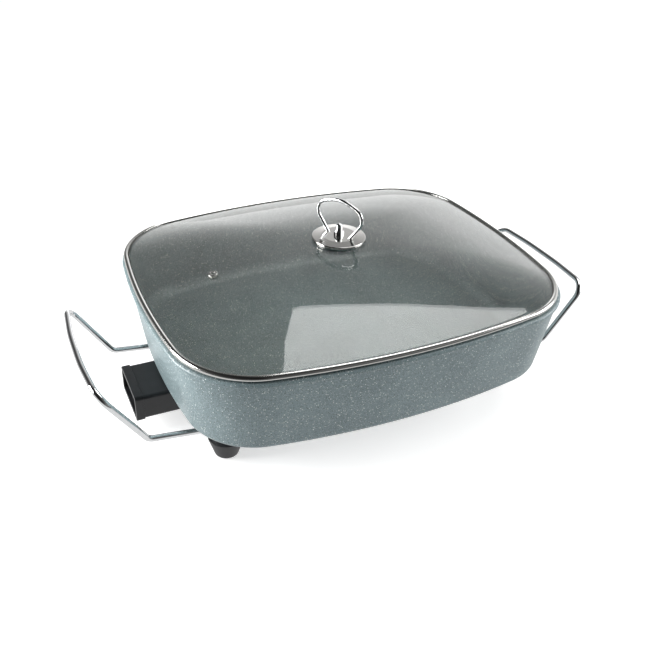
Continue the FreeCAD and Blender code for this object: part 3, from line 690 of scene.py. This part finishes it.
def outline_loop(bm, inset, z):
    """One loop of edges along the rim outline, drawn in by an inset."""
    for arc in rim_arcs():
        centre, radius, start, _ = arc
        place = centre + Vector((math.cos(start), math.sin(start), 0)) * (radius - inset)
        spin_arc(bm, [bm.verts.new((place.x, place.y, z))], arc)
    bmesh.ops.remove_doubles(bm, verts=bm.verts, dist=WELD)
    return bm.edges[:]


def glass_dome():
    """Sheet drawn in from the rim to the flat pad in shrinking copies of the outline, and then
    to the round hole for the handle's screw."""
    bm = bmesh.new()
    outer = run(bm, outline_loop(bm, RING_COVER, GLASS_TOP_Z), STILL)
    share, near_hole, draw_in = 1.0, 1.05, 0.72
    for next_share in DOME_SHARES:
        outer = run(bm, outer, Vector((0, 0, dome_height(next_share) - dome_height(share))))
        grow = next_share / share
        bmesh.ops.scale(bm, vec=(grow, grow, 1), verts=verts_in(outer))
        share = next_share
    while max(v.co.xy.length for v in verts_in(outer)) > GLASS_HOLE * near_hole:
        outer = run(bm, outer, STILL)
        for v in verts_in(outer):
            v.co.xy = v.co.xy.normalized() * max(GLASS_HOLE, v.co.xy.length * draw_in)
    bmesh.ops.remove_doubles(bm, verts=bm.verts, dist=WELD)
    return bm


def open_edges_of(bm, outside):
    """Open edges of the rim, or else of the hole in the middle."""
    middle = 50
    return [e for e in bm.edges if e.is_boundary and (e.verts[0].co.xy.length > middle) == outside]


def lid_glass():
    """The dome with its edge run out into the ring, and its lower face under it."""
    bm = glass_dome()
    clearance = 0.75
    edge = RING_SHEET + clearance
    low = run(bm, open_edges_of(bm, True), STILL)
    out = Vector(((HALF_LENGTH - edge) / (HALF_LENGTH - RING_COVER),
                  (HALF_WIDTH - edge) / (HALF_WIDTH - RING_COVER), 1))
    bmesh.ops.scale(bm, vec=out, verts=verts_in(low))
    copy = bmesh.ops.duplicate(bm, geom=bm.verts[:] + bm.edges[:] + bm.faces[:])["geom"]
    bmesh.ops.translate(bm, verts=verts_in(copy), vec=(0, 0, -GLASS_THICKNESS))
    outer, inner = open_edges_of(bm, True), open_edges_of(bm, False)
    bmesh.ops.bridge_loops(bm, edges=outer)
    bmesh.ops.bridge_loops(bm, edges=inner)
    settle(bm)
    return piece("pressed_glass_dome", bm, "lid", GLASS, ["lid_glass"], sharp=50,
                 weighted=False)


# Handle and vent on the lid


def bail():
    """Wire loop that leans out from its ends under the disc to two shoulders and a round top."""
    bm = bmesh.new()
    wire_radius = 1.8
    foot, shoulder, shoulder_rise, top_rise = 13.0, 32.6, 26.3, 38.0
    shoulder_bend, top_bend = 12.0, 34.0
    drop = NUT_Z - PLATE_Z
    end = foot - (shoulder - foot) / shoulder_rise * drop
    places = [(-end, -drop), (-shoulder, shoulder_rise), (0, top_rise), (shoulder, shoulder_rise),
              (end, -drop)]
    points = [Vector((x, 0, NUT_Z + z)) for x, z in places]
    loop = loop_at(bm, points[0], (points[1] - points[0]).normalized(), wire_radius)
    draw_wire(bm, loop, points, [0, shoulder_bend, top_bend, shoulder_bend, 0])
    close_ends(bm)
    bmesh.ops.rotate(bm, verts=bm.verts, cent=(0, 0, 0),
                     matrix=Matrix.Rotation(math.radians(BAIL_TURN), 3, "Z"))
    return piece("wire_bail", bm, "lid", CHROME, ["handle_bail"], weighted=False)


def disc():
    """Dished cover with the two holes that the loop's ends go through."""
    return piece("spun_disc", from_frame("handle_disc"), "lid", DISC_STEEL,
                 ["handle_disc"], sharp=28)


def acorn_nut():
    """Hexagon with a chamfered top, and a round cap standing on it."""
    bm = bmesh.new()
    width, hexagon_height, total_height, cap_radius = 8.6, 4.6, 12.0, 3.5
    chamfer, easing, cap_base, cap_rounding = 0.7, 0.25, 2.0, 3.3
    bmesh.ops.create_circle(bm, segments=6, radius=width / 2 / math.cos(math.pi / 6), cap_ends=True,
                            matrix=Matrix.Translation((0, 0, NUT_Z)))
    top = verts_in(bmesh.ops.extrude_face_region(bm, geom=bm.faces[:])["geom"])
    bmesh.ops.translate(bm, verts=top, vec=(0, 0, hexagon_height))
    bevel(bm, [e for e in bm.edges if all(v in top for v in e.verts)], chamfer, 2)
    upright = [e for e in bm.edges if abs(e.verts[0].co.z - e.verts[1].co.z) > hexagon_height / 2]
    bevel(bm, upright, easing, 2)
    cap_top = NUT_Z + total_height
    turned(bm, [(cap_radius, NUT_Z + cap_base, 0), (cap_radius, cap_top, cap_rounding), (0, cap_top, 0)],
           steps=40)
    return piece("acorn_nut", bm, "lid", CHROME, ["cap_nut"])


def inside_glass(x, y):
    """Whether a place lies within the long bows of the visible glass."""
    return all(math.hypot(x - centre.x, y - centre.y) < radius - RING_COVER
               for centre, radius, _, _ in rim_arcs() if radius != CORNER)


def glass_level(x, y):
    """Height of the glass's upper face, from the share of the outline that meets the place."""
    low, high, halvings = 0.05, 1.0, 40
    for _ in range(halvings):
        share = (low + high) / 2
        if inside_glass(x / share, y / share):
            high = share
        else:
            low = share
    return GLASS_TOP_Z + dome_height(high)


def vent_eyelet():
    """Flanged eyelet rolled over both faces of the glass, square to the dome where it sits."""
    bm = bmesh.new()
    hole, barrel, flange, sheet, rounding = 1.9, 2.95, 4.6, 0.9, 0.4
    under = -GLASS_THICKNESS
    turned(bm, [
        (hole, sheet, rounding), (flange, sheet, rounding), (flange, 0, 0), (barrel, 0, 0),
        (barrel, under, 0), (flange, under, 0), (flange, under - sheet, rounding),
        (hole, under - sheet, rounding),
    ], steps=48, closed=True)
    x, y = VENT.x, VENT.y
    slope_x = (glass_level(x + 1, y) - glass_level(x - 1, y)) / 2
    slope_y = (glass_level(x, y + 1) - glass_level(x, y - 1)) / 2
    normal = Vector((-slope_x, -slope_y, 1)).normalized()
    bmesh.ops.rotate(bm, verts=bm.verts, cent=(0, 0, 0), matrix=normal.to_track_quat("Z", "Y").to_matrix())
    bmesh.ops.translate(bm, verts=bm.verts, vec=Vector((x, y, glass_level(x, y))))
    return piece("rolled_vent_eyelet", bm, "lid", EYELET_STEEL, ["vent_eyelet"])


pan_shell()
pan_bosses()
screw_pads()
probe_rib()
heater_ridge()
side_handle("wire_left", -1)
side_handle("wire_right", 1)
feet()
socket_shroud()
rim_ring()
edge_seal_and_painted_shade()
lid_glass()
bail()
disc()
acorn_nut()
vent_eyelet()

# The frame's own nodes, of which those that no piece replaces are seen as they are
FINISHES = {
    "pan_body": COAT,
    "heating_element": SHEATH,
    "terminal_pin_front": PIN_PLATE,
    "terminal_pin_back": PIN_PLATE,
    "terminal_bush_front": CERAMIC,
    "terminal_bush_back": CERAMIC,
    "probe_tube": SHEATH,
    "connector_shroud": BLACK,
    "shroud_screw_front": ZINC,
    "shroud_screw_back": ZINC,
    "side_handle_left": CHROME,
    "side_handle_right": CHROME,
    "lid_glass": GLASS,
    "lid_rim_ring": RIM_STEEL,
    "vent_eyelet": EYELET_STEEL,
    "handle_gasket": SILICONE,
    "inner_gasket": SILICONE,
    "handle_plate": DISC_STEEL,
    "handle_disc": DISC_STEEL,
    "handle_bail": CHROME,
    "cap_nut": CHROME,
    "lid_screw": ZINC,
    "inner_washer": EYELET_STEEL,
}
for corner in CORNERS:
    FINISHES["foot_" + corner] = FOOT_BLACK
    FINISHES["foot_screw_" + corner] = ZINC
for name, material in FINISHES.items():
    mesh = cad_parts[name].data
    mesh.materials.clear()
    mesh.materials.append(material)


# Floor, light and camera. Distances here are in metres.

# Brightness by the height of the direction, of the soft fill and of the studio in reflections
FILL = [(0.0, 0.20), (0.35, 0.27), (1.0, 0.38)]
STUDIO = [(0.0, 1.0), (0.18, 1.0), (0.25, 0.78), (0.31, 0.62), (0.4, 0.47), (0.5, 0.38), (0.6, 0.27),
          (0.72, 0.21), (1.0, 0.10)]
# The studio in reflections is dim in front, bright behind and dim at the left
FRONT_SHARE = 0.22
BEHIND_SHARE = 1.6
LEFT_SHARE = 0.12
# Glow that turns the lit floor white where it is seen, and its brightness in reflections
FLOOR_GLOW = 0.6
FLOOR_MIRRORED = 0.95
FLOOR_MIRRORED_FRONT = 0.12


def seen_directly(tree):
    """1 for rays from the camera, also through glass, and the path's own output for reflections.
    Light that a rough surface gathers through the glass isn't seen directly, so it stays soft fill."""
    path = add(tree, "ShaderNodeLightPath")
    direct = combine(tree, "LESS_THAN", path.outputs["Diffuse Depth"], 0.5)
    through = combine(tree, "MULTIPLY", path.outputs["Is Transmission Ray"], direct)
    return combine(tree, "MAXIMUM", path.outputs["Is Camera Ray"], through), path.outputs["Is Glossy Ray"]


def mix(tree, amount, first, second):
    """Shader that goes from the first to the second."""
    return add(tree, "ShaderNodeMixShader", None, {0: amount, 1: first, 2: second}).outputs["Shader"]


def floor():
    """Pale floor that shows white and keeps the shadow. In reflections it darkens towards the front."""
    bm = bmesh.new()
    bmesh.ops.create_grid(bm, x_segments=1, y_segments=1, size=6.0)
    mesh = bpy.data.meshes.new("floor")
    bm.to_mesh(mesh)
    bm.free()
    made = bpy.data.objects.new("floor", mesh)
    bpy.context.scene.collection.objects.link(made)
    material, tree, place = new_material("pale_floor")
    seen, mirrored = seen_directly(tree)
    lit = add(tree, "ShaderNodeBsdfDiffuse", {"Color": colour("#e6e6e6")})
    glow = add(tree, "ShaderNodeEmission", {"Color": grey(1)},
               {"Strength": combine(tree, "MULTIPLY", seen, FLOOR_GLOW)})
    both = add(tree, "ShaderNodeAddShader", None, {0: lit.outputs["BSDF"], 1: glow.outputs["Emission"]})
    split = add(tree, "ShaderNodeSeparateXYZ", None, {"Vector": place})
    front, under = -0.46, -0.24
    shade = spread(tree, split.outputs["Y"], FLOOR_MIRRORED_FRONT, FLOOR_MIRRORED, front, under)
    mirror = add(tree, "ShaderNodeEmission", {"Color": grey(1)}, {"Strength": shade})
    add(tree, "ShaderNodeOutputMaterial", None,
        {"Surface": mix(tree, mirrored, both.outputs["Shader"], mirror.outputs["Emission"])})
    mesh.materials.append(material)


def backdrop():
    """White where it is seen. Reflections show a white horizon under a darker studio."""
    world = bpy.data.worlds.new("studio")
    bpy.context.scene.world = world
    world.use_nodes = True
    tree = world.node_tree
    tree.nodes.clear()
    seen, mirrored = seen_directly(tree)
    # A world's Generated coordinates are the direction of the ray
    place = add(tree, "ShaderNodeTexCoord").outputs["Generated"]
    split = add(tree, "ShaderNodeSeparateXYZ", None, {"Vector": place})
    x, y, z = (split.outputs[axis] for axis in "XYZ")
    soft = ramp(tree, z, [(level, grey(value)) for level, value in FILL])
    studio = ramp(tree, z, [(level, grey(value)) for level, value in STUDIO])
    # Each share passes into a strength of 1 between two places on its axis
    front = spread(tree, y, FRONT_SHARE, 1.0, -0.9, -0.1)
    behind = spread(tree, y, 1.0, BEHIND_SHARE, 0.0, 0.6)
    left = spread(tree, x, LEFT_SHARE, 1.0, -0.15, 0.25)
    strength = combine(tree, "MULTIPLY", combine(tree, "MULTIPLY", front, behind), left)
    room = add(tree, "ShaderNodeBackground", None, {"Color": studio, "Strength": strength})
    fill = add(tree, "ShaderNodeBackground", {"Strength": 1.0}, {"Color": soft})
    white = add(tree, "ShaderNodeBackground", {"Color": grey(1), "Strength": 1.0})
    lighting = mix(tree, mirrored, fill.outputs["Background"], room.outputs["Background"])
    add(tree, "ShaderNodeOutputWorld", None,
        {"Surface": mix(tree, seen, lighting, white.outputs["Background"])})


def basis(x, y, z):
    """Turn whose columns are three directions."""
    return Matrix((x, y, z)).transposed().to_4x4()


def lamp(name, middle, across, facing, size, watts):
    """Softbox with its middle, the direction of its width, the way it faces, its size and power."""
    data = bpy.data.lights.new(name, "AREA")
    data.shape = "RECTANGLE"
    data.size, data.size_y = size
    data.energy = watts
    back = -Vector(facing).normalized()
    wide = Vector(across)
    wide = (wide - back * wide.dot(back)).normalized()
    made = bpy.data.objects.new(name, data)
    made.matrix_world = Matrix.Translation(Vector(middle)) @ basis(wide, back.cross(wide), back)
    bpy.context.scene.collection.objects.link(made)


def camera():
    """Camera from the fit of the rim, the feet, the handles and the disc in the photograph."""
    azimuth, elevation, roll = (math.radians(angle) for angle in (-25.52, 32.72, 2.17))
    distance, shift_right, shift_up = 801.94, -14.94, -58.14
    back = Vector((math.sin(azimuth) * math.cos(elevation), -math.cos(azimuth) * math.cos(elevation),
                   math.sin(elevation)))
    level = Vector((math.cos(azimuth), math.sin(azimuth), 0))
    upright = back.cross(level)
    right = level * math.cos(roll) + upright * math.sin(roll)
    top = upright * math.cos(roll) - level * math.sin(roll)
    place = Vector((0, 0, RING_Z)) + back * distance + right * shift_right + top * shift_up
    data = bpy.data.cameras.new("camera")
    data.sensor_width = 36.0
    data.lens = 44.58
    data.clip_start = 0.01
    made = bpy.data.objects.new("camera", data)
    made.matrix_world = Matrix.Translation(place * MM) @ basis(right, top, back)
    bpy.context.scene.collection.objects.link(made)
    bpy.context.scene.camera = made


floor()
backdrop()
# The first lamp's place and turn come from its reflection in the lid
lamp("softbox_over_lid", (0.961, 0.128, 1.656), (1373, -454, 426), (0.332, 0.126, -0.935),
     (1.6, 1.0), 18)
lamp("softbox_left", (-1.4, 0.45, 0.5), (-0.3, -1, 0), (1.35, -0.48, -0.4), (0.9, 0.8), 40)
lamp("softbox_right", (1.45, -0.55, 0.6), (0.45, 1, 0), (-1.3, 0.45, -0.45), (1.0, 0.8), 17)
camera()

bpy.context.scene.view_settings.view_transform = "Standard"
